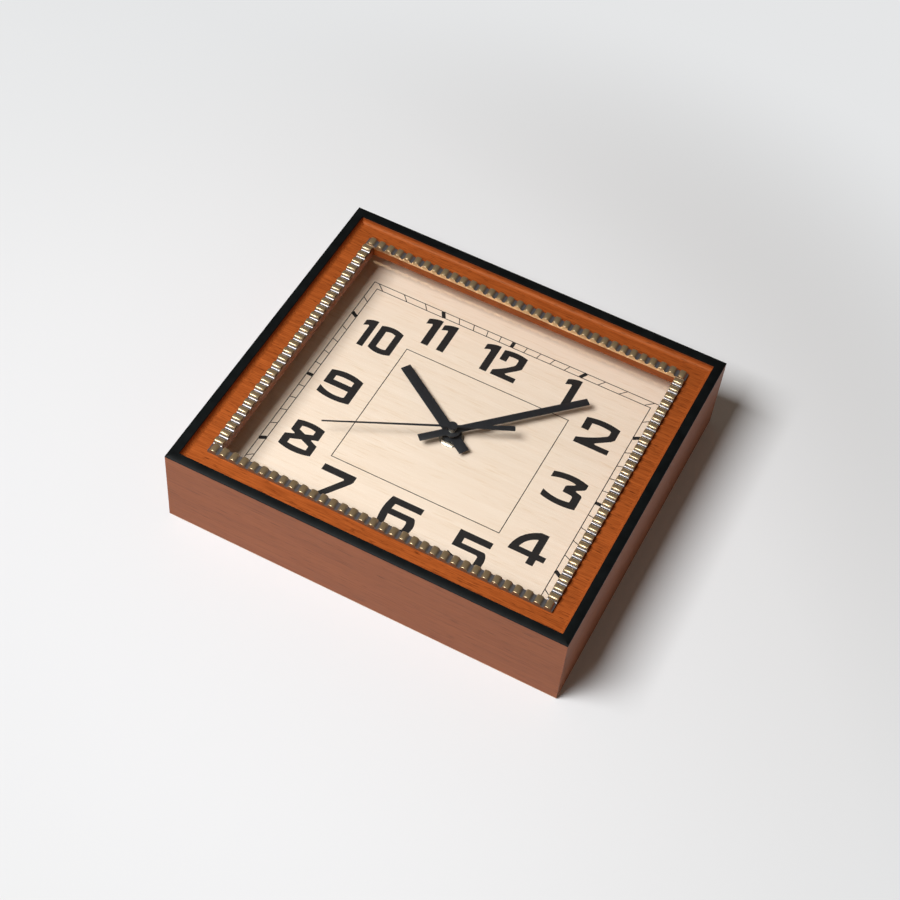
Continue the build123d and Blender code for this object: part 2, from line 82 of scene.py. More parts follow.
def startMaterial(name, values):
    material = bpy.data.materials.new(name)
    material.use_nodes = True
    tree = material.node_tree
    shader = tree.nodes["Principled BSDF"]
    for socket, value in values.items():
        shader.inputs[socket].default_value = value
    return material, tree, shader


def clearSelection():
    if bpy.context.object and bpy.context.object.mode != "OBJECT":
        bpy.ops.object.mode_set(mode="OBJECT")
    bpy.ops.object.select_all(action="DESELECT")


def selectOnly(piece):
    clearSelection()
    bpy.context.view_layer.objects.active = piece
    piece.select_set(True)


def holdPlace(name):  # what was just added gets its name and keeps its place in its mesh
    piece = bpy.context.object
    piece.name = name
    piece.data.name = name
    bpy.ops.object.transform_apply(location=True, rotation=True, scale=True)
    return piece


def addBlock(name, low, high):  # corners in mm
    clearSelection()
    middle = [(a + b) / 2 * mm for a, b in zip(low, high)]
    size = [(b - a) * mm for a, b in zip(low, high)]
    bpy.ops.mesh.primitive_cube_add(size=1, location=middle, scale=size)
    return holdPlace(name)


def addRound(name, centre, radius, length, sidesAround=48, turn=(0, 0, 0)):  # in mm, along Z unless turned
    clearSelection()
    place = [c * mm for c in centre]
    bpy.ops.mesh.primitive_cylinder_add(
        vertices=sidesAround, radius=radius * mm, depth=length * mm, location=place, rotation=turn)
    return holdPlace(name)


def pick(piece, kind, test):  # edit mode with only what the test accepts, by place and direction in mm
    selectOnly(piece)
    bpy.ops.object.mode_set(mode="EDIT")
    bpy.ops.mesh.select_mode(type=kind)
    bpy.ops.mesh.select_all(action="DESELECT")
    bpy.ops.object.mode_set(mode="OBJECT")
    mesh = piece.data
    if kind == "FACE":
        for face in mesh.polygons:
            face.select = bool(test(face.center / mm, face.normal))
    elif kind == "EDGE":
        for edge in mesh.edges:
            a, b = (mesh.vertices[i].co / mm for i in edge.vertices)
            edge.select = bool(test((a + b) / 2, b - a))
    else:
        for vertex in mesh.vertices:
            vertex.select = bool(test(vertex.co / mm))
    bpy.ops.object.mode_set(mode="EDIT")


def anyFace(place, normal):
    return True


def applyModifier(piece, kind, **settings):
    selectOnly(piece)
    modifier = piece.modifiers.new(kind.title(), kind)
    for name, value in settings.items():
        setattr(modifier, name, value)
    bpy.ops.object.modifier_apply(modifier=modifier.name)


def softenEdges(piece, width, segments=2, angle=40):
    applyModifier(piece, "BEVEL", width=width * mm, segments=segments, limit_method="ANGLE",
                  angle_limit=math.radians(angle))


def combine(piece, other, operation):  # other is used up
    applyModifier(piece, "BOOLEAN", object=other, operation=operation, solver="EXACT")
    bpy.data.objects.remove(other)


def joinPieces(name, pieces):
    clearSelection()
    for piece in pieces:
        piece.select_set(True)
    bpy.context.view_layer.objects.active = pieces[0]
    bpy.ops.object.join()
    pieces[0].name = name
    return pieces[0]


def copyTurned(piece, name, degrees):  # a copy with its own mesh, turned round the dial's centre
    twin = piece.copy()
    twin.data = piece.data.copy()
    twin.name = name
    scene.collection.objects.link(twin)
    twin.data.transform(Matrix.Rotation(math.radians(degrees), 4, "Z"))
    return twin


def finishPiece(piece, material, slot, body, *nodes, angle=30):
    selectOnly(piece)
    bpy.ops.object.mode_set(mode="EDIT")
    bpy.ops.mesh.select_all(action="SELECT")
    bpy.ops.mesh.normals_make_consistent(inside=False)
    bpy.ops.object.mode_set(mode="OBJECT")
    bpy.ops.object.shade_smooth_by_angle(angle=math.radians(angle))
    piece.data.materials.clear()
    piece.data.materials.append(material)
    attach(piece, body)
    if nodes:
        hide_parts(*nodes)


def nodeBox(node):  # a CAD node's corners in mm
    low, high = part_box(node)
    return [v / mm for v in low], [v / mm for v in high]


# materials

# what all woods share: where noise turns to streak, tone and pore, how the gloss varies, relief in mm
grain = {"streak": (0.32, 0.68), "tone": (0.35, 0.65), "pore": (0.6, 0.74), "glossSpread": 0.06,
         "fibreRelief": 0.5, "reliefDepth": 0.05, "uprightLift": 0.6, "noiseRoughness": 0.6,
         "seedSpread": (1.0, 1.7, 0.6)}


def woodMaterial(name, wood):  # fine streaks along the grain, slow drift of tone, short dark pores
    material, tree, shader = startMaterial(name, {
        "Coat Weight": wood.get("coat", 0.0), "Coat Roughness": wood.get("coatRoughness", 0.3),
        "Specular IOR Level": wood["gloss"], "Specular Tint": hexToLinear(wood.get("sheen", "#FFFFFF"))})
    along = "xyz".index(wood["grainAxis"])
    place = addNode(tree, "TexCoord").outputs["Object"]

    def stretched(length, width, detail, seed):  # noise drawn out along the grain, sizes in mm
        scale = [1 / (width * mm)] * 3
        scale[along] = 1 / (length * mm)
        offset = [seed * share for share in grain["seedSpread"]]
        spot = addNode(tree, "Mapping", {"Scale": scale, "Location": offset}, {"Vector": place})
        noise = addNode(tree, "TexNoise", {
            "Scale": 1.0, "Detail": detail, "Roughness": grain["noiseRoughness"]},
            {"Vector": spot.outputs["Vector"]})
        return noise.outputs["Fac"]

    fibre = stretched(*wood["fibre"], detail=4.0, seed=3.1)
    drift = stretched(*wood["drift"], detail=2.0, seed=7.7)
    pore = stretched(*wood["pore"], detail=1.0, seed=1.3)
    streak = addNode(tree, "MapRange", {"From Min": grain["streak"][0], "From Max": grain["streak"][1]},
                     {"Value": fibre}).outputs["Result"]
    tone = addNode(tree, "MapRange", {"From Min": grain["tone"][0], "From Max": grain["tone"][1]},
                   {"Value": drift}).outputs["Result"]
    poreShare = addNode(tree, "MapRange", {"From Min": grain["pore"][0], "From Max": grain["pore"][1],
                                           "To Max": wood["poreDepth"]}, {"Value": pore}).outputs["Result"]
    base = addNode(tree, "Mix", {6: hexToLinear(wood["dark"]), 7: hexToLinear(wood["light"])}, {0: streak},
                   data_type="RGBA")
    shift = addNode(tree, "Mix", {6: hexToLinear(wood["dark"]), 7: hexToLinear(wood["warm"])}, {0: tone},
                    data_type="RGBA")
    body = addNode(tree, "Mix", {0: wood["driftShare"]}, {6: base.outputs[2], 7: shift.outputs[2]},
                   data_type="RGBA")
    colour = addNode(tree, "Mix", {7: hexToLinear(wood["poreColour"])}, {0: poreShare, 6: body.outputs[2]},
                     data_type="RGBA")
    seen = colour.outputs[2]
    if "paintedUprightShade" in wood:  # upright faces are darkened: painted shade on the window walls and the cove
        facing = addNode(tree, "NewGeometry").outputs["True Normal"]
        lift = addNode(tree, "Math", {}, {0: addNode(tree, "SeparateXYZ", {}, {0: facing}).outputs["Z"]},
                       operation="ABSOLUTE")
        shade = addNode(tree, "MapRange", {"From Max": grain["uprightLift"], "To Min": wood["paintedUprightShade"]},
                        {"Value": lift.outputs[0]})
        seen = addNode(tree, "VectorMath", {}, {0: seen, "Scale": shade.outputs["Result"]},
                       operation="SCALE").outputs[0]
    smooth, dry = wood["roughness"] - grain["glossSpread"], wood["roughness"] + grain["glossSpread"]
    rough = addNode(tree, "MapRange", {"To Min": smooth, "To Max": dry}, {"Value": fibre}).outputs["Result"]
    height = addNode(tree, "Math", {1: grain["fibreRelief"]}, {0: fibre, 2: poreShare},
                     operation="MULTIPLY_ADD")
    bump = addNode(tree, "Bump", {"Strength": wood["relief"], "Distance": grain["reliefDepth"] * mm},
                   {"Height": height.outputs[0]}, invert=True)
    tree.links.new(seen, shader.inputs["Base Color"])
    tree.links.new(rough, shader.inputs["Roughness"])
    tree.links.new(bump.outputs["Normal"], shader.inputs["Normal"])
    return material


# satin sapele veneer: even red-brown with fine open grain; fibre, drift and pore in mm, along and across
sapele = {"light": "#9E5F3D", "dark": "#834A2E", "warm": "#975534", "poreColour": "#5C3220", "grainAxis": "x",
          "fibre": (34, 0.7), "drift": (110, 9), "pore": (9, 0.45), "poreDepth": 0.6, "driftShare": 0.35,
          "roughness": 0.5, "gloss": 0.25, "relief": 0.25}
# the same wood under amber lacquer: orange-brown and deep, with a soft warm shine; upright faces painted
# darker as painted shade
lacquer = {"light": "#BA612B", "dark": "#833C14", "warm": "#A24E1D", "poreColour": "#552207",
           "grainAxis": "x", "fibre": (14, 0.45), "drift": (60, 6), "pore": (5, 0.4), "poreDepth": 0.85,
           "driftShare": 0.3, "roughness": 0.5, "coat": 0.02, "coatRoughness": 0.42, "gloss": 0.3,
           "sheen": "#FFC898", "relief": 0.12, "paintedUprightShade": 0.75}
# pale maple veneer, satin: cream with hardly any figure
maple = {"light": "#FBE9DB", "dark": "#F3DCC9", "warm": "#F8E2D0", "poreColour": "#E5C6A6", "grainAxis": "x",
         "fibre": (45, 1.6), "drift": (80, 9), "pore": (12, 0.8), "poreDepth": 0.4, "driftShare": 0.5,
         "roughness": 0.5, "gloss": 0.3, "relief": 0.08}
# planed pine strip: straw yellow with brown late-wood lines
pine = {"light": "#D2A871", "dark": "#A97B47", "warm": "#BC8F58", "poreColour": "#8A5E31", "grainAxis": "x",
        "fibre": (60, 2.2), "drift": (120, 6), "pore": (14, 0.9), "poreDepth": 0.5, "driftShare": 0.4,
        "roughness": 0.6, "gloss": 0.35, "relief": 0.3}
# pressed hardboard: matted short brown fibres in every direction
hardboard = {"light": "#8B6540", "dark": "#6A492B", "warm": "#7C5836", "poreColour": "#4B311B",
             "grainAxis": "x", "fibre": (3.2, 1.1), "drift": (25, 18), "pore": (1.6, 0.7), "poreDepth": 0.6,
             "driftShare": 0.5, "roughness": 0.55, "gloss": 0.4, "relief": 0.35}

sapeleAcross = woodMaterial("sapele veneer, grain along X", sapele)
sapeleUp = woodMaterial("sapele veneer, grain along Y", dict(sapele, grainAxis="y"))
lacquered = woodMaterial("lacquered sapele", lacquer)
mapleDial = woodMaterial("maple veneer", maple)
pineAcross = woodMaterial("planed pine, grain along X", pine)
pineUp = woodMaterial("planed pine, grain along Y", dict(pine, grainAxis="y"))
hardboardBack = woodMaterial("hardboard", hardboard)


speckle = {"span": (0.3, 0.7), "reliefDepth": 0.03}  # where the noise turns from dark to light, relief in mm


def speckMaterial(name, look):  # a plain colour broken by fine speckle in tone, gloss and relief
    material, tree, shader = startMaterial(name, {
        "Metallic": look.get("metallic", 0.0), "Specular IOR Level": look.get("gloss", 0.5)})
    place = addNode(tree, "TexCoord").outputs["Object"]
    spread = [1 / (width * mm) for width in look["speck"]]
    spot = addNode(tree, "Mapping", {"Scale": spread}, {"Vector": place}).outputs["Vector"]
    speck = addNode(tree, "TexNoise", {"Scale": 1.0, "Detail": 3.0}, {"Vector": spot}).outputs["Fac"]
    share = addNode(tree, "MapRange", {"From Min": speckle["span"][0], "From Max": speckle["span"][1]},
                    {"Value": speck}).outputs["Result"]
    colour = addNode(tree, "Mix", {6: hexToLinear(look["dark"]), 7: hexToLinear(look["light"])}, {0: share},
                     data_type="RGBA")
    low, high = look["roughness"]
    rough = addNode(tree, "MapRange", {"To Min": low, "To Max": high}, {"Value": speck}).outputs["Result"]
    bump = addNode(tree, "Bump", {"Strength": look["relief"], "Distance": speckle["reliefDepth"] * mm},
                   {"Height": speck})
    tree.links.new(colour.outputs[2], shader.inputs["Base Color"])
    tree.links.new(rough, shader.inputs["Roughness"])
    tree.links.new(bump.outputs["Normal"], shader.inputs["Normal"])
    return material


# black stained edge, rubbed satin: nearly black with the wood just showing; speck in mm along X, Y and Z
stained = speckMaterial("black stained edge", {
    "dark": "#080B0C", "light": "#101415", "speck": (6, 6, 0.6), "roughness": (0.42, 0.52), "relief": 0.12,
    "gloss": 0.12})
# matte black paint on stamped aluminium: dry, even, a little grey at a glance
paintedHand = speckMaterial("matte black paint on aluminium", {
    "dark": "#1B1D22", "light": "#26282E", "speck": (0.5, 0.5, 0.5), "roughness": (0.45, 0.58),
    "relief": 0.1, "gloss": 0.35})
# screen-printed ink: flat black that lies in the veneer's grain
ink = speckMaterial("screen-printed ink", {
    "dark": "#191719", "light": "#242224", "speck": (4, 0.4, 0.4), "roughness": (0.55, 0.7), "relief": 0.1,
    "gloss": 0.3})
# bright nickel plate on brass: white metal, hardly rough
nickel = speckMaterial("nickel plate", {
    "dark": "#B9B6AE", "light": "#D2CFC8", "speck": (0.6, 0.6, 0.6), "roughness": (0.22, 0.34),
    "relief": 0.05, "metallic": 1.0})
# zinc-plated steel: grey metal with a dull crystalline cast
zinc = speckMaterial("zinc-plated steel", {
    "dark": "#9C9FA2", "light": "#C2C4C6", "speck": (0.8, 0.8, 0.8), "roughness": (0.28, 0.42),
    "relief": 0.1, "metallic": 1.0})
# moulded ABS, spark-eroded matte: black with a fine grit, drawn coarser than real so that it shows
moulded = speckMaterial("moulded black ABS", {
    "dark": "#17181A", "light": "#232426", "speck": (0.35, 0.35, 0.35), "roughness": (0.48, 0.62),
    "relief": 0.5})
# acetal wheels: milky white, waxy
acetal = speckMaterial("acetal", {
    "dark": "#DAD4C5", "light": "#EDE8DC", "speck": (1.5, 1.5, 1.5), "roughness": (0.3, 0.4),
    "relief": 0.08})
# grey ABS knob, fine matte
knobPlastic = speckMaterial("moulded grey ABS", {
    "dark": "#BDB9AE", "light": "#D1CDC2", "speck": (0.4, 0.4, 0.4), "roughness": (0.42, 0.55),
    "relief": 0.3})
# rubber washer: dead matte black
rubber = speckMaterial("moulded rubber", {
    "dark": "#171717", "light": "#262626", "speck": (0.5, 0.5, 0.5), "roughness": (0.75, 0.9),
    "relief": 0.4, "gloss": 0.3})
# sintered magnet: dark grey, granular
sintered = speckMaterial("sintered magnet", {
    "dark": "#3C3C3F", "light": "#57575A", "speck": (0.3, 0.3, 0.3), "roughness": (0.4, 0.55),
    "relief": 0.4, "metallic": 0.7})
# epoxy laminate under solder mask: green with the weave showing through
laminate = speckMaterial("solder mask on laminate", {
    "dark": "#234C2E", "light": "#35683F", "speck": (0.9, 0.35, 0.9), "roughness": (0.3, 0.42),
    "relief": 0.3})
# drawn aluminium can: soft bright metal with draw lines
drawnCan = speckMaterial("drawn aluminium", {
    "dark": "#AEB0B2", "light": "#CFD1D3", "speck": (5, 0.3, 0.3), "roughness": (0.25, 0.38),
    "relief": 0.15, "metallic": 1.0})
# printed film on a steel cell: satin dark blue
cellWrap = speckMaterial("printed film", {
    "dark": "#24364A", "light": "#30465C", "speck": (9, 9, 9), "roughness": (0.25, 0.34), "relief": 0.04})


# clear float glass: a thin flat pane that shows the dial and mirrors the room faintly; smear is a width in mm
floatGlass = {"tint": "#FEFFFE", "mirror": "#FFFFFF", "ior": 1.5, "smear": 22, "smearRoughness": 0.06}


def glassMaterial():
    material, tree, shader = startMaterial("float glass", {})
    tree.nodes.remove(shader)
    clear = addNode(tree, "BsdfTransparent", {"Color": hexToLinear(floatGlass["tint"])})
    place = addNode(tree, "TexCoord").outputs["Object"]
    smear = addNode(tree, "TexNoise", {"Scale": 1 / (floatGlass["smear"] * mm), "Detail": 2.0},
                    {"Vector": place}).outputs["Fac"]
    film = addNode(tree, "MapRange", {"To Max": floatGlass["smearRoughness"]},
                   {"Value": smear}).outputs["Result"]
    mirror = addNode(tree, "BsdfGlossy", {"Color": hexToLinear(floatGlass["mirror"])}, {"Roughness": film})
    inside = addNode(tree, "NewGeometry").outputs["Backfacing"]
    outside = addNode(tree, "Math", {0: 1.0}, {1: inside}, operation="SUBTRACT")
    fresnel = addNode(tree, "Fresnel", {"IOR": floatGlass["ior"]})
    share = addNode(tree, "Math", {}, {0: fresnel.outputs[0], 1: outside.outputs[0]},
                    operation="MULTIPLY")  # both faces of the pane count once, at the front
    pane = addNode(tree, "MixShader", {}, {0: share.outputs[0], 1: clear.outputs[0], 2: mirror.outputs[0]})
    tree.links.new(pane.outputs[0], tree.nodes["Material Output"].inputs["Surface"])
    return material


# enamelled copper wire: turn beside turn, drawn twice as coarse as real so that it shows; darker in the
# grooves between the turns as painted shade and lighter on the turns as painted highlight
wire = {"dark": "#6B2F14", "light": "#C06A36", "turn": 0.3, "unevenness": 0.4, "metallic": 0.9,
        "roughness": 0.3, "relief": 0.6, "reliefDepth": 0.05}


def wireMaterial():
    material, tree, shader = startMaterial("enamelled copper wire", {
        "Metallic": wire["metallic"], "Roughness": wire["roughness"]})
    place = addNode(tree, "TexCoord").outputs["Object"]
    wave = 1 / (wire["turn"] * mm) / (2 * math.pi)
    turns = addNode(tree, "TexWave", {"Scale": wave, "Distortion": wire["unevenness"]}, {"Vector": place},
                    bands_direction="X").outputs["Fac"]
    colour = addNode(tree, "Mix", {6: hexToLinear(wire["dark"]), 7: hexToLinear(wire["light"])}, {0: turns},
                     data_type="RGBA")
    bump = addNode(tree, "Bump", {"Strength": wire["relief"], "Distance": wire["reliefDepth"] * mm},
                   {"Height": turns})
    tree.links.new(colour.outputs[2], shader.inputs["Base Color"])
    tree.links.new(bump.outputs["Normal"], shader.inputs["Normal"])
    return material


glass = glassMaterial()
copperWire = wireMaterial()
print("materials ready")

# CAD nodes that keep their own shape get their finish here
finishes = {
    "fascia": lacquered, "glass": glass, "dial_board": mapleDial, "back_panel": hardboardBack,
    "movement_case": moulded, "movement_cover": moulded, "gasket": rubber, "washer": nickel,
    "contact_negative": zinc, "contact_positive": zinc, "circuit_board": laminate, "crystal": drawnCan,
    "chip": moulded, "coil_winding": copperWire, "coil_bobbin": acetal, "motor_core": zinc, "stator": zinc,
    "rotor_magnet": sintered, "rotor_pinion": acetal, "intermediate_wheel": acetal, "seconds_wheel": acetal,
    "third_wheel": acetal, "centre_wheel": acetal, "cannon_pinion": acetal, "motion_wheel": acetal,
    "hour_wheel": acetal, "setting_knob": knobPlastic, "second_collet": nickel,
    "bead_top": pineAcross, "bead_bottom": pineAcross, "bead_left": pineUp, "bead_right": pineUp,
    "batten_top": pineAcross, "batten_bottom": pineAcross, "batten_left": pineUp, "batten_right": pineUp,
}
for node, material in finishes.items():
    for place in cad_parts[node].material_slots:
        place.material = material
print("carried-over nodes finished:", len(finishes))

# case boards and their black front edging, mitred at the corners; an edge over longEdge runs along its board
case = {"backChamfer": 0.7, "edgingChamfer": 0.25, "innerChamfer": 0.2, "longEdge": 50}
caseCorner = [v / mm for v in cadBox[1][:2]]


def mitreEnds(bar, lengthways, corner):  # both ends cut at 45 degrees, through the corner that they point to
    for end in (-1, 1):
        pick(bar, "FACE", anyFace)
        x, y = (end * corner[0], corner[1]) if lengthways == "x" else (corner[0], end * corner[1])
        cut = (end, -1, 0) if lengthways == "x" else (-1, end, 0)
        bpy.ops.mesh.bisect(plane_co=(x * mm, y * mm, 0), plane_no=cut, use_fill=True, clear_outer=True)
    bpy.ops.object.mode_set(mode="OBJECT")
    return bar


def breakEdges(bar, width, lengthways, test, segments=2):  # only long edges that the test accepts by place
    along = "xy".index(lengthways)
    pick(bar, "EDGE", lambda at, run: abs(run[along]) > case["longEdge"] and test(at))
    bpy.ops.mesh.bevel(offset=width * mm, segments=segments, affect="EDGES")
    bpy.ops.object.mode_set(mode="OBJECT")


def caseSide(lengthways, side, outer):  # a board and its edging; outer is 0 for X and 1 for Y
    rim = caseCorner[outer] - touch
    board = mitreEnds(addBlock("case" + side.title(), *nodeBox("case_" + side)), lengthways, caseCorner)
    breakEdges(board, case["backChamfer"], lengthways, lambda at: at.z < touch and at[outer] > rim, 1)
    low, high = nodeBox("edging_" + side)
    edging = mitreEnds(addBlock("edging" + side.title(), low, high), lengthways, caseCorner)
    front, inner = high[2] - tiny, low[outer] + touch
    breakEdges(edging, case["edgingChamfer"], lengthways, lambda at: at.z > front and at[outer] > rim)
    breakEdges(edging, case["innerChamfer"], lengthways, lambda at: at.z > front and at[outer] < inner)
    return board, edging


for lengthways, side, far, outer, veneer in (("x", "top", "bottom", 1, sapeleAcross),
                                             ("y", "right", "left", 0, sapeleUp)):
    board, edging = caseSide(lengthways, side, outer)
    farBoard = copyTurned(board, "case" + far.title(), 180)
    farEdging = copyTurned(edging, "edging" + far.title(), 180)
    finishPiece(farBoard, veneer, "side_veneer", "case", "case_" + far)
    finishPiece(farEdging, stained, "black_edging", "case", "edging_" + far)
    finishPiece(board, veneer, "side_veneer", "case", "case_" + side)
    finishPiece(edging, stained, "black_edging", "case", "edging_" + side)
print("case boards and edging done")

# hollow run of lacquer in the corner between the fascia and the boards
cove = {"radius": 2.4, "sidesAround": 96, "smoothAngle": 20}
fasciaCorner = nodeBox("fascia")[1]


def coveSide(name, lengthways):
    reach = cove["radius"]
    x, y, level = fasciaCorner
    if lengthways == "x":
        bar = addBlock(name, (-x, y - reach, level), (x, y, level + reach))
        axis, length, turn = (0, y - reach, level + reach), 3 * x, (0, math.pi / 2, 0)
    else:
        bar = addBlock(name, (x - reach, -y, level), (x, y, level + reach))
        axis, length, turn = (x - reach, 0, level + reach), 3 * y, (math.pi / 2, 0, 0)
    combine(bar, addRound("hollow", axis, reach, length, cove["sidesAround"], turn), "DIFFERENCE")
    return mitreEnds(bar, lengthways, (x, y))


for lengthways, side, far in (("x", "Top", "Bottom"), ("y", "Right", "Left")):
    bar = coveSide("cove" + side, lengthways)
    for piece in (copyTurned(bar, "cove" + far, 180), bar):
        finishPiece(piece, lacquered, "lacquered_fascia", "case", angle=cove["smoothAngle"])
print("lacquer cove done")

# ribbed brass trim: one rib across the strip is modelled and repeated along it; sizes in mm, flank in degrees
trim = {"ribPitch": 5.05, "ribDepth": 1.6, "flank": 66, "corner": 0.82, "crown": 3.0, "crownReach": 1.0,
        "endOverhang": 0.1, "sideOverhang": 0.35, "outerNose": 0.35, "innerNose": 0.15, "waist": 0.1,
        "smoothAngle": 50}
trimLow, trimHigh = nodeBox("trim_top")
# aged brass: brown where the crests are rubbed, grey in the hollows, gold towards the glass and dull outside;
# the outer faces are dark tarnish and painted shade, and the side strips' copy has its inner faces painted
# dark brown as painted shade
agedBrass = {"brass": "#B59E7A", "patina": "#7A7A80", "gold": "#E6C296", "shade": "#63422A",
             "tarnishAndShade": "#7A5A44", "rubbed": 0.15, "mottle": 1.3, "mottleShare": 0.25, "relief": 0.12,
             "reliefDepth": 0.03, "topMetal": 0.72, "innerMetal": 1.0, "outerMetal": 0.15,
             "hollowRoughness": 0.33, "crestRoughness": 0.28, "faceRoughness": 0.45,
             "uprightLift": (0.15, 0.3), "sideSpan": 10}


def brassMaterial(name, inner):
    look = agedBrass
    material, tree, shader = startMaterial(name, {})
    place = addNode(tree, "TexCoord").outputs["Object"]
    height = addNode(tree, "SeparateXYZ", {}, {0: place}).outputs["Z"]
    mottle = addNode(tree, "TexNoise", {"Scale": 1 / (look["mottle"] * mm), "Detail": 3.0},
                     {"Vector": place}).outputs["Fac"]
    hollow, crest = trimHigh[2] - trim["ribDepth"], trimHigh[2] - look["rubbed"]
    rubbed = addNode(tree, "MapRange", {"From Min": hollow * mm, "From Max": crest * mm},
                     {"Value": height}).outputs["Result"]
    patches = addNode(tree, "MapRange", {"To Min": -look["mottleShare"], "To Max": look["mottleShare"]},
                      {"Value": mottle}).outputs["Result"]
    wear = addNode(tree, "Math", {}, {0: rubbed, 1: patches}, operation="ADD", use_clamp=True).outputs[0]
    top = addNode(tree, "Mix", {6: hexToLinear(look["patina"]), 7: hexToLinear(look["brass"])}, {0: wear},
                  data_type="RGBA").outputs[2]
    facing = addNode(tree, "NewGeometry").outputs["True Normal"]
    lift = addNode(tree, "SeparateXYZ", {}, {0: facing}).outputs["Z"]
    steep, flat = look["uprightLift"]
    upright = addNode(tree, "MapRange", {"From Min": steep, "From Max": flat, "To Min": 1.0, "To Max": 0.0},
                      {"Value": lift}).outputs["Result"]
    outward = addNode(tree, "VectorMath", {}, {0: place, 1: facing}, operation="DOT_PRODUCT").outputs["Value"]
    outer = addNode(tree, "MapRange", {"From Min": -look["sideSpan"] * mm, "From Max": look["sideSpan"] * mm},
                    {"Value": outward}).outputs["Result"]  # 0 towards the window, 1 away from it
    # upright faces: inner colour towards the window, dark tarnish and painted shade away from it
    side = addNode(tree, "Mix", {6: hexToLinear(inner), 7: hexToLinear(look["tarnishAndShade"])}, {0: outer},
                   data_type="RGBA").outputs[2]
    colour = addNode(tree, "Mix", {}, {0: upright, 6: top, 7: side}, data_type="RGBA").outputs[2]
    sideMetal = addNode(tree, "MapRange", {"To Min": look["innerMetal"], "To Max": look["outerMetal"]},
                        {"Value": outer}).outputs["Result"]
    metal = addNode(tree, "MapRange", {"To Min": look["topMetal"]},
                    {"Value": upright, "To Max": sideMetal}).outputs["Result"]
    rough = addNode(tree, "MapRange", {"To Min": look["hollowRoughness"], "To Max": look["crestRoughness"]},
                    {"Value": wear}).outputs["Result"]
    rough = addNode(tree, "MapRange", {"To Max": look["faceRoughness"]},
                    {"Value": upright, "To Min": rough}).outputs["Result"]
    bump = addNode(tree, "Bump", {"Strength": look["relief"], "Distance": look["reliefDepth"] * mm},
                   {"Height": mottle})
    tree.links.new(colour, shader.inputs["Base Color"])
    tree.links.new(metal, shader.inputs["Metallic"])
    tree.links.new(rough, shader.inputs["Roughness"])
    tree.links.new(bump.outputs["Normal"], shader.inputs["Normal"])
    return material


def waveStations(pitch):  # place along a rib and depth below its crest: hollow, flank, corner, crowned crest
    corner, crown, depth = trim["corner"], trim["crown"], trim["ribDepth"]
    steep = math.radians(trim["flank"])
    edge = math.asin(trim["crownReach"] / crown)
    half = []
    for turn in (0, edge / 2, edge):
        half.append((crown * math.sin(turn), crown * (1 - math.cos(turn))))
    for turn in ((edge + steep) / 2, steep):
        half.append((half[2][0] + corner * (math.sin(turn) - math.sin(edge)),
                     half[2][1] + corner * (math.cos(edge) - math.cos(turn))))
    foot = depth - corner * (1 - math.cos(steep))
    footPlace = half[4][0] + (foot - half[4][1]) / math.tan(steep)
    for turn in (steep, steep / 2, 0):
        half.append((footPlace + corner * (math.sin(steep) - math.sin(turn)),
                     depth - corner * (1 - math.cos(turn))))
    rising = [(pitch / 2 - place, down) for place, down in reversed(half)]
    falling = [(pitch - place, down) for place, down in reversed(rising[:-1])]
    return [(0, depth)] + rising + falling + [(pitch, depth)]


def ribbedStrip(name, length, width, overhang):  # along X, centred on the origin, outer side towards +Y
    ribs = round(length / trim["ribPitch"])
    pitch = length / ribs
    half = width / 2
    start = -length / 2
    base, high = trimLow[2], trimHigh[2]
    stations = waveStations(pitch)
    rib = addBlock(name, (start, -half, base), (start + pitch, half + overhang, high))
    pick(rib, "FACE", lambda place, normal: abs(normal.x) > squarely)
    bpy.ops.mesh.delete(type="ONLY_FACE")
    for along, _ in stations[1:-1]:
        pick(rib, "FACE", anyFace)
        bpy.ops.mesh.bisect(plane_co=((start + along) * mm, 0, 0), plane_no=(1, 0, 0))
    for side, nose, segments in ((1, "outerNose", 3), (-1, "innerNose", 1)):
        pick(rib, "EDGE", lambda place, run: abs(run.x) > tiny and place.z > high - touch
             and side * place.y > half - touch)
        bpy.ops.mesh.bevel(offset=trim[nose] * mm, segments=segments, affect="EDGES")
    hollow = high - trim["ribDepth"]
    for along, down in stations:  # each goes down to its height
        station = start + along
        share = down / trim["ribDepth"]
        pick(rib, "VERT", lambda place: abs(place.x - station) < tiny and place.z > hollow - tiny)
        bpy.ops.transform.resize(value=(1, 1 - share * trim["waist"] / width, 1 - share),
                                 center_override=(station * mm, 0, hollow * mm))
    bpy.ops.object.mode_set(mode="OBJECT")
    applyModifier(rib, "ARRAY", count=ribs, use_merge_vertices=True, merge_threshold=2 * tiny * mm)
    pick(rib, "EDGE", lambda place, run: abs(abs(place.x) + start) < tiny and abs(run.x) < tiny)
    bpy.ops.mesh.edge_face_add()
    bpy.ops.object.mode_set(mode="OBJECT")
    return rib


stripWidth = trimHigh[1] - trimLow[1]
rowPlace = (trimHigh[1] + trimLow[1]) / 2
sideLow, sideHigh = nodeBox("trim_right")
columnPlace = (sideHigh[0] + sideLow[0]) / 2
longLength = trimHigh[0] - trimLow[0] + 2 * trim["sideOverhang"]
long = ribbedStrip("trimTop", longLength, stripWidth, trim["endOverhang"])
long.data.transform(Matrix.Translation((0, rowPlace * mm, 0)))
short = ribbedStrip("trimRight", sideHigh[1] - sideLow[1], stripWidth, trim["sideOverhang"])
short.data.transform(Matrix.Rotation(-math.pi / 2, 4, "Z"))
short.data.transform(Matrix.Translation((columnPlace * mm, 0, 0)))
brass = brassMaterial("antique brass", agedBrass["gold"])
# a lit and a shaded copy: the side strips' inner faces are painted dark brown as painted shade
shadedSideBrass = brassMaterial("antique brass, painted shade inside", agedBrass["shade"])
for strip, metal, node in ((copyTurned(long, "trimBottom", 180), brass, "trim_bottom"),
                           (copyTurned(short, "trimLeft", 180), shadedSideBrass, "trim_left"),
                           (long, brass, "trim_top"), (short, shadedSideBrass, "trim_right")):
    finishPiece(strip, metal, "antique_brass", "case", node, angle=trim["smoothAngle"])
print("ribbed trim done")

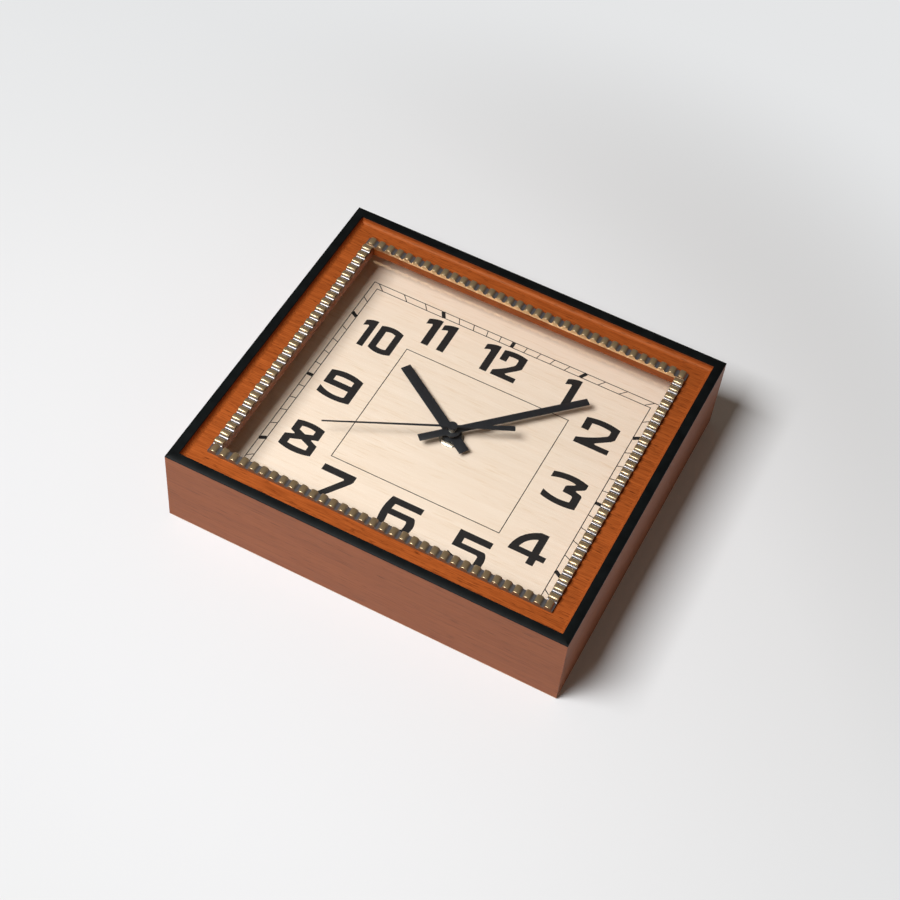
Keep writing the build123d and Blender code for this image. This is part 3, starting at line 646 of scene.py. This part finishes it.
# dial print: minute track, inner rectangle and numerals, each a thin film of ink; half sizes and widths in mm
dialPrint = {"film": 0.03, "line": 0.42, "trackOuter": (78.2, 68.2), "trackInner": (75.0, 64.6),
             "rectangle": (43.7, 37.55), "boldTick": 1.9, "tick": 0.42}
dialLevel = nodeBox("dial_board")[1][2]


def lineRectangle(name, halfX, halfY):  # a thin closed line
    clearSelection()
    level = (dialLevel + dialPrint["film"]) * mm
    grow = dialPrint["line"] / 2
    bpy.ops.mesh.primitive_plane_add(size=2 * mm, location=(0, 0, level))
    sheet = holdPlace(name)
    pick(sheet, "FACE", anyFace)
    bpy.ops.transform.resize(value=(halfX + grow, halfY + grow, 1), center_override=(0, 0, level))
    bpy.ops.mesh.inset(thickness=dialPrint["line"] * mm, use_even_offset=True)
    bpy.ops.mesh.delete(type="FACE")
    pick(sheet, "FACE", anyFace)
    bpy.ops.mesh.extrude_region_move(TRANSFORM_OT_translate={"value": (0, 0, -dialPrint["film"] * mm)})
    bpy.ops.object.mode_set(mode="OBJECT")
    return sheet


def reachTo(angle, halfX, halfY):  # distance from the centre to a rectangle along a clock angle
    across = abs(math.sin(angle)) / halfX
    up = abs(math.cos(angle)) / halfY
    return 1 / max(across, up)


def minuteTick(minute):
    angle = math.radians(360 / 60 * minute)
    width = dialPrint["boldTick"] if minute % 5 == 0 else dialPrint["tick"]
    near = reachTo(angle, *dialPrint["trackInner"])
    far = reachTo(angle, *dialPrint["trackOuter"])
    tick = addBlock("tick", (-width / 2, near, dialLevel), (width / 2, far, dialLevel + dialPrint["film"]))
    tick.data.transform(Matrix.Rotation(-angle, 4, "Z"))
    return tick


trackPieces = [lineRectangle("dialTrack", *dialPrint["trackOuter"])]
trackPieces += [lineRectangle("line", *dialPrint["trackInner"])]
trackPieces += [minuteTick(minute) for minute in range(60)]
finishPiece(joinPieces("dialTrack", trackPieces), ink, "black_hand", "case")
finishPiece(lineRectangle("dialRectangle", *dialPrint["rectangle"]), ink, "black_hand", "case")

# each numeral is a list of outlines; a point's third number bows the line to the next point, in mm
glyphs = {
    "1": [[(-3.55, 7.2, 0.55), (3.55, 9.1), (3.55, -8.95), (-0.25, -8.95), (-0.25, 4.3), (-0.8, 4.85),
           (-3.55, 3.6)]],
    "2": [[(-8.9, 7.7, 1.3), (8.6, 7.8), (8.6, 1.1), (7.2, -0.6), (1.0, -5.0), (0.8, -5.5), (1.3, -5.85),
           (8.7, -5.85), (8.7, -8.95), (-8.9, -8.95), (-8.9, -5.75, -0.65), (4.5, 1.7), (4.9, 2.5),
           (4.9, 4.7), (4.4, 5.2, -0.5), (-5.1, 5.3), (-5.1, 0.4), (-8.9, 0.4)]],
    "narrow 2": [[(-6.3, 8.1, 0.95), (6.3, 8.0), (6.35, 1.0), (5.4, -0.3), (0.5, -5.0), (0.2, -5.5),
                  (0.75, -5.85), (6.3, -5.85), (6.3, -8.95), (-6.35, -8.95), (-6.35, -5.9, -0.5),
                  (2.2, 1.4), (2.55, 2.2), (2.55, 5.0), (2.1, 5.6, -0.2), (-2.65, 5.5), (-2.65, 1.6),
                  (-6.3, 1.6)]],
    "3": [[(-9.0, 7.1, 1.5), (8.8, 7.2), (8.8, 4.5), (8.3, 3.7), (5.2, 1.75), (4.9, 1.2), (5.5, 0.95),
           (8.2, 0.15), (8.8, -0.7), (8.8, -8.9, 1.15), (-9.0, -8.4), (-9.0, -4.7, -1.05), (4.5, -6.1),
           (4.85, -5.7), (4.85, -2.9), (4.2, -2.1), (-0.3, -1.85), (-0.55, -1.5), (-0.55, 1.7), (-0.2, 2.3),
           (3.2, 4.2), (3.3, 4.7), (2.8, 5.0, -0.9), (-9.0, 3.4)]],
    "4": [[(1.4, 9.2), (5.3, 9.2), (5.3, -2.4), (9.0, -2.4), (9.0, -5.6), (5.3, -5.6), (5.3, -9.4),
           (1.65, -9.4), (1.65, -5.6), (-9.1, -5.6, 2.8)],
          [(1.65, 5.0), (1.65, -2.4), (-4.8, -2.4, 1.25)]],
    "5": [[(-8.5, 9.3), (8.1, 9.3), (8.1, 5.7), (-4.8, 5.7), (-4.8, 2.6), (6.7, 2.6), (7.4, 2.2, 0.35),
           (8.8, -2.4), (8.7, -7.6, 1.15), (-8.5, -7.8), (-8.5, -4.0, -1.0), (4.5, -5.8), (4.8, -5.4),
           (4.9, -1.5), (4.6, -0.7), (4.1, -0.4), (-8.5, -0.4)]],
    "6": [[(-7.8, 10.1), (8.4, 10.1), (8.4, 6.6), (-4.8, 6.6), (-5.2, 3.5), (6.4, 3.5), (7.2, 2.9, 0.3),
           (8.5, -1.8), (7.7, -7.2, 0.9), (-7.8, -7.2, 1.3)],
          [(-5.3, 0.2), (4.0, 0.2), (4.4, -0.6, 0.15), (4.3, -4.6), (4.0, -5.0, 0.25), (-4.8, -5.0)]],
    "7": [[(-8.4, 10.7), (8.4, 10.7), (8.4, 7.2), (7.8, 5.9), (-1.55, -7.5), (-5.4, -7.5), (3.9, 6.3),
           (3.5, 6.9), (-8.4, 6.9)]],
    "8": [[(-7.3, 9.3, 1.15), (7.4, 9.2), (7.4, 2.7), (4.7, 1.8), (4.3, 1.3), (5.0, 0.9), (8.4, -0.5),
           (8.4, -7.0, 1.4), (-8.75, -7.0), (-8.75, -0.5), (-5.2, 0.9), (-4.5, 1.3), (-5.0, 1.8),
           (-7.3, 2.7)],
          [(-3.6, 6.9, 0.45), (3.6, 6.9), (3.6, 4.6), (0.2, 3.25), (-0.2, 3.25), (-3.6, 4.6)],
          [(-4.9, -2.3), (0, -0.35), (4.9, -2.3), (4.9, -4.9, 0.3), (-4.9, -4.9)]],
    "9": [[(-8.6, 7.6, 1.7), (8.8, 7.4), (8.8, -7.6, 1.25), (-8.8, -7.4), (-8.8, -3.3, -1.3), (4.5, -5.35),
           (4.9, -4.9), (4.9, -1.4), (4.6, -1.0), (-8.6, -1.0)],
          [(-4.9, 5.3, 0.5), (4.9, 5.2), (4.9, 2.4), (-4.9, 2.4)]],
    "0": [[(-6.05, 7.6, 1.4), (6.05, 7.4), (6.05, -7.6, 1.5), (-6.05, -7.6)],
          [(-2.5, 5.1, 0.6), (2.6, 5.1), (2.6, -5.4, 0.5), (-2.5, -5.4)]],
}
# glyph, place of its middle on the dial in mm, narrowing
numerals = [
    ("1", -7.6, 53.4, 1), ("narrow 2", 4.45, 53.4, 1), ("1", 36.4, 53.5, 1), ("2", 59.6, 36.4, 1),
    ("3", 59.5, 0, 1), ("4", 59.5, -37, 1), ("5", 36.1, -53.4, 1), ("6", 0, -53.4, 1),
    ("7", -35.6, -53.4, 1), ("8", -60.5, -36, 1), ("9", -60.4, 0.5, 1), ("1", -66.6, 36.95, 0.87),
    ("0", -55.15, 37, 1), ("1", -39.7, 53.4, 1), ("1", -31.2, 53.4, 1)]


def bowedOutline(points, steps=10):  # straight runs, and shallow arcs where a point has a bow
    line = []
    for here, there in zip(points, points[1:] + points[:1]):
        bow = here[2] if len(here) > 2 else 0
        a, b = Vector(here[:2]), Vector(there[:2])
        out = Vector((-(b - a).y, (b - a).x)).normalized()
        for step in range(steps if bow else 1):
            t = step / steps
            line.append(a.lerp(b, t) + out * 4 * bow * t * (1 - t))  # highest half way, by the bow
    return line


def drawGlyph(name, glyph, x, y, narrowing):
    curve = bpy.data.curves.new(name, "CURVE")
    curve.dimensions = "2D"
    curve.fill_mode = "BOTH"
    curve.extrude = dialPrint["film"] / 2 * mm
    for outline in glyphs[glyph]:
        points = bowedOutline(outline)
        spline = curve.splines.new("POLY")
        spline.points.add(len(points) - 1)
        spline.use_cyclic_u = True
        for spot, point in zip(spline.points, points):
            spot.co = (point.x * narrowing * mm, point.y * mm, 0, 1)
    drawn = bpy.data.objects.new(name, curve)
    scene.collection.objects.link(drawn)
    selectOnly(drawn)
    bpy.ops.object.convert(target="MESH")
    drawn = bpy.context.object
    drawn.data.transform(Matrix.Translation((x * mm, y * mm, (dialLevel + dialPrint["film"] / 2) * mm)))
    return drawn


figures = [drawGlyph("figure", *entry) for entry in numerals]
finishPiece(joinPieces("dialNumerals", figures), ink, "black_hand", "case")
print("dial print done")

# hands: stamped bars with a round boss, edges just broken; angles clockwise from twelve, sizes in mm
hands = {
    "hour": {"angle": 303.5, "length": 45.6, "tail": 11.9, "width": 5.2,
             "boss": 4.8, "hole": 2.5, "collet": 3.4},
    "minute": {"angle": 45.2, "length": 68.5, "tail": 16.5, "width": 3.8,
               "boss": 3.9, "hole": 1.6, "collet": 2.6},
    "second": {"angle": 242.8, "length": 61.3, "tail": 29.5, "tip": 0.6, "neck": 1.1, "tailWidth": 2.9,
               "tailCorner": 0.6, "cap": 2.35, "plate": 0.4},
    "plate": 0.5, "softness": 0.1, "colletOverlap": 0.2, "drillLength": 6}


def barHand(name, node, hand):
    low, high = nodeBox(node)
    back = high[2] - hands["plate"]
    half = hand["width"] / 2
    bar = addBlock(name, (-half, -hand["tail"], back), (half, hand["length"], high[2]))
    middle = (back + high[2]) / 2
    combine(bar, addRound("boss", (0, 0, middle), hand["boss"], hands["plate"], 64), "UNION")
    colletHeight = back - low[2] + hands["colletOverlap"]
    combine(bar, addRound("collet", (0, 0, low[2] + colletHeight / 2), hand["collet"], colletHeight), "UNION")
    combine(bar, addRound("hole", (0, 0, middle), hand["hole"], hands["drillLength"]), "DIFFERENCE")
    softenEdges(bar, hands["softness"])
    bar.data.transform(Matrix.Rotation(math.radians(-hand["angle"]), 4, "Z"))
    return bar


hourHand = barHand("hourHand", "hour_hand", hands["hour"])
minuteHand = barHand("minuteHand", "minute_hand", hands["minute"])
finishPiece(hourHand, paintedHand, "black_hand", "hours", "hour_hand")
finishPiece(minuteHand, paintedHand, "black_hand", "minutes", "minute_hand")


def secondHand():
    hand = hands["second"]
    low, high = nodeBox("second_hand")
    back, front = low[2], low[2] + hand["plate"]
    half = hand["neck"] / 2
    needle = addBlock("secondHand", (-half, 0, back), (half, hand["length"], front))
    pick(needle, "FACE", lambda place, normal: normal.y > squarely)
    bpy.ops.transform.resize(value=(hand["tip"] / hand["neck"], 1, 1), center_override=(0, 0, 0))
    pick(needle, "FACE", lambda place, normal: normal.y < -squarely)
    bpy.ops.mesh.extrude_region_move(TRANSFORM_OT_translate={"value": (0, -hand["tail"] * mm, 0)})
    bpy.ops.transform.resize(value=(hand["tailWidth"] / hand["neck"], 1, 1), center_override=(0, 0, 0))
    pick(needle, "EDGE", lambda place, run: abs(run.z) > touch and place.y < touch - hand["tail"])
    bpy.ops.mesh.bevel(offset=hand["tailCorner"] * mm, segments=4, affect="EDGES")
    bpy.ops.object.mode_set(mode="OBJECT")
    capMiddle = (back + high[2]) / 2
    combine(needle, addRound("cap", (0, 0, capMiddle), hand["cap"], high[2] - back), "UNION")
    softenEdges(needle, hands["softness"])
    needle.data.transform(Matrix.Rotation(math.radians(-hand["angle"]), 4, "Z"))
    return needle


finishPiece(secondHand(), paintedHand, "black_hand", "seconds", "second_hand")

# hexagon nut with its corners turned down
nut = {"acrossFlats": 10.0, "bore": 4.1, "turnDown": 0.2, "drillLength": 4}
nutLow, nutHigh = nodeBox("nut")
nutMiddle = (nutLow[2] + nutHigh[2]) / 2
corner = nut["acrossFlats"] / 2 / math.cos(math.pi / 6)
nutPiece = addRound("nut", (0, 0, nutMiddle), corner, nutHigh[2] - nutLow[2], 6, (0, 0, math.radians(30)))
pick(nutPiece, "EDGE", lambda place, run: abs(run.z) < tiny and place.z > nutMiddle)
bpy.ops.mesh.bevel(offset=nut["turnDown"] * mm, segments=2, affect="EDGES")
bpy.ops.object.mode_set(mode="OBJECT")
combine(nutPiece, addRound("bore", (0, 0, nutMiddle), nut["bore"], nut["drillLength"]), "DIFFERENCE")
finishPiece(nutPiece, nickel, "nickel", "case", "nut")
print("hands and nut done")

# back: pan-head screws and the dry cell
screw = {"head": 2.8, "headHeight": 0.9, "headRound": 0.6, "shank": 1.2, "slot": 0.7, "slotReach": 1.5,
         "slotDepth": 0.45, "place": (73.4, 80.9)}
screwLow, screwHigh = nodeBox("panel_screws")
headBottom = screwLow[2]
headTop = headBottom + screw["headHeight"]
pieces = []
for signX in (-1, 1):
    for signY in (-1, 1):
        x, y = signX * screw["place"][0], signY * screw["place"][1]
        headMiddle = (headBottom + headTop) / 2
        head = addRound("panelScrews", (x, y, headMiddle), screw["head"], screw["headHeight"])
        pick(head, "EDGE", lambda place, run: abs(run.z) < tiny and place.z < headBottom + touch)
        bpy.ops.mesh.bevel(offset=screw["headRound"] * mm, segments=4, affect="EDGES")
        bpy.ops.object.mode_set(mode="OBJECT")
        reach, half, depth = screw["slotReach"], screw["slot"] / 2, headBottom + screw["slotDepth"]
        for wide, tall in ((reach, half), (half, reach)):
            cutter = addBlock("cross", (x - wide, y - tall, headBottom - touch), (x + wide, y + tall, depth))
            combine(head, cutter, "DIFFERENCE")
        shankMiddle = (headTop + screwHigh[2]) / 2
        shank = addRound("shank", (x, y, shankMiddle), screw["shank"], screwHigh[2] - headTop, 32)
        combine(head, shank, "UNION")
        pieces.append(head)
finishPiece(joinPieces("panelScrews", pieces), zinc, "zinc_steel", "case", "panel_screws")

cell = {"button": 2.7, "buttonLength": 1.2, "shoulder": 0.6, "rim": 1.1, "wrapEdge": 0.9}
cellLow, cellHigh = nodeBox("battery")
cellRadius = (cellHigh[1] - cellLow[1]) / 2
cellAxis = ((cellHigh[1] + cellLow[1]) / 2, (cellHigh[2] + cellLow[2]) / 2)
bodyEnd = cellHigh[0] - cell["buttonLength"]
cellMiddle = (cellLow[0] + bodyEnd) / 2


def fromAxis(place):  # distance from the cell's axis in mm
    return math.hypot(place.y - cellAxis[0], place.z - cellAxis[1])


bodyLength = bodyEnd - cellLow[0]
battery = addRound("battery", (cellMiddle, *cellAxis), cellRadius, bodyLength, 64, (0, math.pi / 2, 0))
pick(battery, "FACE", lambda place, normal: abs(normal.x) > squarely)
bpy.ops.mesh.inset(thickness=cell["rim"] * mm, use_individual=True)
pick(battery, "EDGE", lambda place, run: fromAxis(place) > cellRadius - touch and abs(run.x) < tiny)
bpy.ops.mesh.bevel(offset=cell["shoulder"] * mm, segments=3, affect="EDGES")
pick(battery, "FACE", lambda place, normal: normal.x > squarely and fromAxis(place) < touch)
bpy.ops.mesh.inset(thickness=(cellRadius - cell["rim"] - cell["button"]) * mm)
bpy.ops.mesh.extrude_region_move(TRANSFORM_OT_translate={"value": (cell["buttonLength"] * mm, 0, 0)})
bpy.ops.object.mode_set(mode="OBJECT")
finishPiece(battery, cellWrap, "battery_wrap", "case", "battery")
battery.data.materials.append(zinc)
for face in battery.data.polygons:
    face.material_index = 1 if fromAxis(face.center / mm) < cellRadius - cell["wrapEdge"] else 0
print("screws and cell done")

# floor and light, in metres
stage = {"floor": ("#C6C7C9", "#F1F3F5"), "lampShadeReach": (0.3, 0.71), "farFloor": ("#F3F3F3", "#E5E6E7"),
         "fade": (0.18, 0.36), "ledge": 0.0002, "floorSize": 12, "floorRoughness": 0.75, "floorGloss": 0.2,
         "skyTop": 0.09, "skyRim": 0.3, "skyFalloff": 4.0, "skyUnder": 0.85, "skyColour": "#FFE7D0",
         "keyPower": 16.3, "keySize": (0.57, 0.5), "keyPlace": (-0.34, -0.485, 0.92)}


def paperMaterial():  # matte white paper: keeps the shadow, painted greyer under the lamp against its pool of light, and fades to a pale ground further out that is painted brighter towards the lamp
    material, tree, shader = startMaterial("matte white paper", {
        "Roughness": stage["floorRoughness"], "Specular IOR Level": stage["floorGloss"]})
    spot = addNode(tree, "TexCoord").outputs["Object"]
    foot = addNode(tree, "VectorMath", {1: (*stage["keyPlace"][:2], 0)}, {0: spot}, operation="DISTANCE")
    tone = addNode(tree, "MapRange", {"From Min": stage["lampShadeReach"][0], "From Max": stage["lampShadeReach"][1]},
                   {"Value": foot.outputs["Value"]}).outputs["Result"]  # painted shade: greyer below the lamp, evening out its pool of light
    near = addNode(tree, "Mix", {6: hexToLinear(stage["floor"][0]), 7: hexToLinear(stage["floor"][1])},
                   {0: tone}, data_type="RGBA")
    tree.links.new(near.outputs[2], shader.inputs["Base Color"])
    # the pale ground is painted brighter towards the lamp: a painted pool of light
    far = addNode(tree, "Mix", {6: hexToLinear(stage["farFloor"][0]), 7: hexToLinear(stage["farFloor"][1])},
                  {0: tone}, data_type="RGBA")
    pale = addNode(tree, "Emission", {}, {"Color": far.outputs[2]})
    away = addNode(tree, "VectorMath", {}, {0: spot}, operation="LENGTH").outputs["Value"]
    fade = addNode(tree, "MapRange", {"From Min": stage["fade"][0], "From Max": stage["fade"][1]},
                   {"Value": away}, interpolation_type="SMOOTHSTEP").outputs["Result"]
    ray = addNode(tree, "LightPath").outputs
    seen = addNode(tree, "Math", {}, {0: ray["Is Camera Ray"], 1: ray["Is Glossy Ray"]}, operation="ADD")
    seen = addNode(tree, "Math", {}, {0: seen.outputs[0], 1: ray["Is Transmission Ray"]}, operation="ADD",
                   use_clamp=True)
    share = addNode(tree, "Math", {}, {0: seen.outputs[0], 1: fade}, operation="MULTIPLY")
    lit = addNode(tree, "MixShader", {}, {0: share.outputs[0], 1: shader.outputs[0], 2: pale.outputs[0]})
    footprint = addNode(tree, "SeparateXYZ", {}, {0: spot})
    inside = []
    for axis, reach in zip("XY", cadBox[1]):
        off = addNode(tree, "Math", {}, {0: footprint.outputs[axis]}, operation="ABSOLUTE")
        off = addNode(tree, "Math", {1: reach - stage["ledge"]}, {0: off.outputs[0]}, operation="LESS_THAN")
        inside.append(off.outputs[0])
    hidden = addNode(tree, "Math", {}, dict(enumerate(inside)), operation="MULTIPLY")
    below = addNode(tree, "NewGeometry").outputs["Backfacing"]
    gone = addNode(tree, "Math", {}, {0: hidden.outputs[0], 1: below}, operation="MAXIMUM")
    clear = addNode(tree, "BsdfTransparent")  # from below and under the case, so that the back is lit
    paper = addNode(tree, "MixShader", {}, {0: gone.outputs[0], 1: lit.outputs[0], 2: clear.outputs[0]})
    tree.links.new(paper.outputs[0], tree.nodes["Material Output"].inputs["Surface"])
    return material


clearSelection()
bpy.ops.mesh.primitive_plane_add(size=stage["floorSize"], location=(0, 0, 0))
floor = holdPlace("floor")
floor.data.materials.append(paperMaterial())

world = bpy.data.worlds.new("studio")
scene.world = world
world.use_nodes = True
tree = world.node_tree
skyHeight = addNode(tree, "SeparateXYZ", {}, {0: addNode(tree, "TexCoord").outputs["Generated"]}).outputs["Z"]
rim = addNode(tree, "MapRange", {"To Min": 1.0, "To Max": 0.0}, {"Value": skyHeight})
rim = addNode(tree, "Math", {1: stage["skyFalloff"]}, {0: rim.outputs["Result"]}, operation="POWER")
level = addNode(tree, "MapRange", {"To Min": stage["skyTop"], "To Max": stage["skyRim"]},
                {"Value": rim.outputs[0]})
under = addNode(tree, "Math", {1: 0.0}, {0: skyHeight}, operation="LESS_THAN")
under = addNode(tree, "Math", {1: stage["skyUnder"]}, {0: under.outputs[0]}, operation="MULTIPLY")
level = addNode(tree, "Math", {}, {0: level.outputs["Result"], 1: under.outputs[0]}, operation="MAXIMUM")
sky = tree.nodes["Background"]
sky.inputs["Color"].default_value = hexToLinear(stage["skyColour"])
tree.links.new(level.outputs[0], sky.inputs["Strength"])

clearSelection()
bpy.ops.object.light_add(type="AREA", location=stage["keyPlace"])  # a softbox hung level, front left
key = bpy.context.object
key.name = "key softbox"
key.data.shape = "RECTANGLE"
key.data.size, key.data.size_y = stage["keySize"]
key.data.energy = stage["keyPower"]

# the photograph's angle: place in mm, turn about X, Y and Z in degrees
view = {"lens": 74.4, "place": (200.18, -496.05, 717.46), "turn": (37.02, -3.949, 27.192), "nearest": 0.01}
clearSelection()
bpy.ops.object.camera_add(location=[v * mm for v in view["place"]],
                          rotation=[math.radians(v) for v in view["turn"]])
camera = bpy.context.object
camera.name = "camera"
camera.data.lens = view["lens"]
camera.data.clip_start = view["nearest"]
scene.camera = camera
print("floor, light and camera done")
